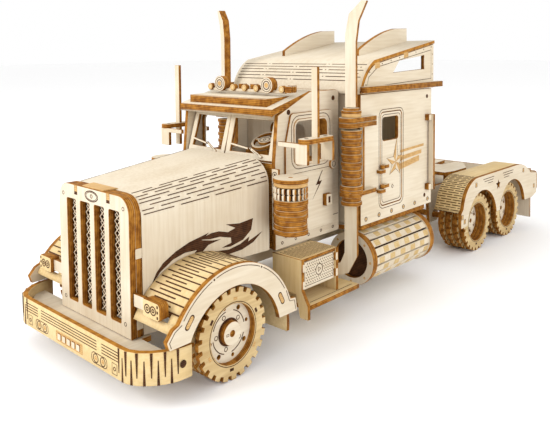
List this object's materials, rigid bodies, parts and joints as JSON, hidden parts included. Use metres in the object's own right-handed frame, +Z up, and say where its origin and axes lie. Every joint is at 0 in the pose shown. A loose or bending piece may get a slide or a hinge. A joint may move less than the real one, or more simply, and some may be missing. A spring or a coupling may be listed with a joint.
{
  "type": "wooden truck model",
  "caption": "Wooden model of a conventional tractor truck with a sleeper cabin, steered front wheels, rolling axles and opening sleeper doors.",
  "frame": {"origin": "on the resting surface under the middle of the truck's outline", "axes": "+Z up, -Y towards the front bumper, +X towards the driver's side"},
  "size_m": [0.0928, 0.315, 0.1356],
  "materials": {
    "plywood": "smooth uncoated birch-faced plywood, pale cream",
    "plywood_edge": "laser-cut plywood edge, burnt brown, matt"
  },
  "bodies": {
    "truck": {"chassis_rail_l": "plywood", "chassis_rail_r": "plywood", "chassis_ladder": "plywood", "front_axle": "plywood_edge", "front_bumper": "plywood", "front_deck": "plywood", "grille_surround": "plywood", "grille_mesh": "plywood_edge", "headlamp_l": "plywood", "headlamp_r": "plywood", "hood": "plywood", "front_fender_l": "plywood", "front_fender_r": "plywood", "windshield_frame": "plywood", "floor_and_bulkhead": "plywood", "cab_back": "plywood", "cab_side_l": "plywood", "cab_side_r": "plywood", "cab_roof_visor": "plywood_edge", "roof_lamps": "plywood", "seat": "plywood", "steering_wheel": "plywood", "mirror_l": "plywood", "mirror_r": "plywood", "air_cleaner_l": "plywood_edge", "air_cleaner_r": "plywood_edge", "muffler_l": "plywood_edge", "muffler_r": "plywood_edge", "stack_pipe_l": "plywood", "stack_pipe_r": "plywood", "down_pipe_l": "plywood", "down_pipe_r": "plywood", "sleeper_side_l": "plywood", "sleeper_side_r": "plywood", "sleeper_front": "plywood", "sleeper_back": "plywood", "sleeper_roof": "plywood", "roof_side_l": "plywood", "roof_side_r": "plywood", "battery_box_l": "plywood", "battery_box_r": "plywood", "fuel_tank_l": "plywood", "fuel_tank_r": "plywood", "rear_fender_l": "plywood", "rear_fender_r": "plywood", "fifth_wheel": "plywood", "tail_bar": "plywood"},
    "knuckle_left": {"steering_knuckle_l": "plywood_edge"},
    "knuckle_right": {"steering_knuckle_r": "plywood_edge"},
    "tie_rod_body": {"tie_rod": "plywood"},
    "front_wheel_left": {"front_wheel_l": "plywood"},
    "front_wheel_right": {"front_wheel_r": "plywood"},
    "rear_axle_one": {"rear_axle_1": "plywood_edge", "rear_wheel_1_l": "plywood", "rear_wheel_1_r": "plywood"},
    "rear_axle_two": {"rear_axle_2": "plywood_edge", "rear_wheel_2_l": "plywood", "rear_wheel_2_r": "plywood"},
    "sleeper_door_left": {"sleeper_door_l": "plywood"},
    "sleeper_door_right": {"sleeper_door_r": "plywood"}
  },
  "joints": [
    {"name": "steer_left", "type": "hinge", "parent": "truck", "child": "knuckle_left", "pos_m": [0.029, -0.1197, 0.0163], "axis": [0, 0, 1], "range_deg": [-12, 12]},
    {"name": "steer_right", "type": "hinge", "parent": "truck", "child": "knuckle_right", "pos_m": [-0.029, -0.1197, 0.0163], "axis": [0, 0, 1], "range_deg": [-12, 12]},
    {"name": "tie_rod_slide", "type": "slide", "parent": "truck", "child": "tie_rod_body", "axis": [1, 0, 0], "range_m": [-0.0022, 0.0022]},
    {"name": "front_spin_left", "type": "hinge", "parent": "knuckle_left", "child": "front_wheel_left", "pos_m": [0.04, -0.1197, 0.0163], "axis": [1, 0, 0], "continuous": true},
    {"name": "front_spin_right", "type": "hinge", "parent": "knuckle_right", "child": "front_wheel_right", "pos_m": [-0.04, -0.1197, 0.0163], "axis": [1, 0, 0], "continuous": true},
    {"name": "rear_spin_one", "type": "hinge", "parent": "truck", "child": "rear_axle_one", "pos_m": [0, 0.0766, 0.0163], "axis": [1, 0, 0], "continuous": true},
    {"name": "rear_spin_two", "type": "hinge", "parent": "truck", "child": "rear_axle_two", "pos_m": [0, 0.1176, 0.0163], "axis": [1, 0, 0], "continuous": true},
    {"name": "door_left", "type": "hinge", "parent": "truck", "child": "sleeper_door_left", "pos_m": [0.0412, -0.0204, 0.06], "axis": [0, 0, -1], "range_deg": [0, 85]},
    {"name": "door_right", "type": "hinge", "parent": "truck", "child": "sleeper_door_right", "pos_m": [-0.0412, -0.0204, 0.06], "axis": [0, 0, 1], "range_deg": [0, 85]}
  ],
  "couplings": [
    {"joint": "steer_right", "follows": "steer_left", "ratio": 1},
    {"joint": "tie_rod_slide", "follows": "steer_left", "m_per_rad": -0.0095}
  ]
}
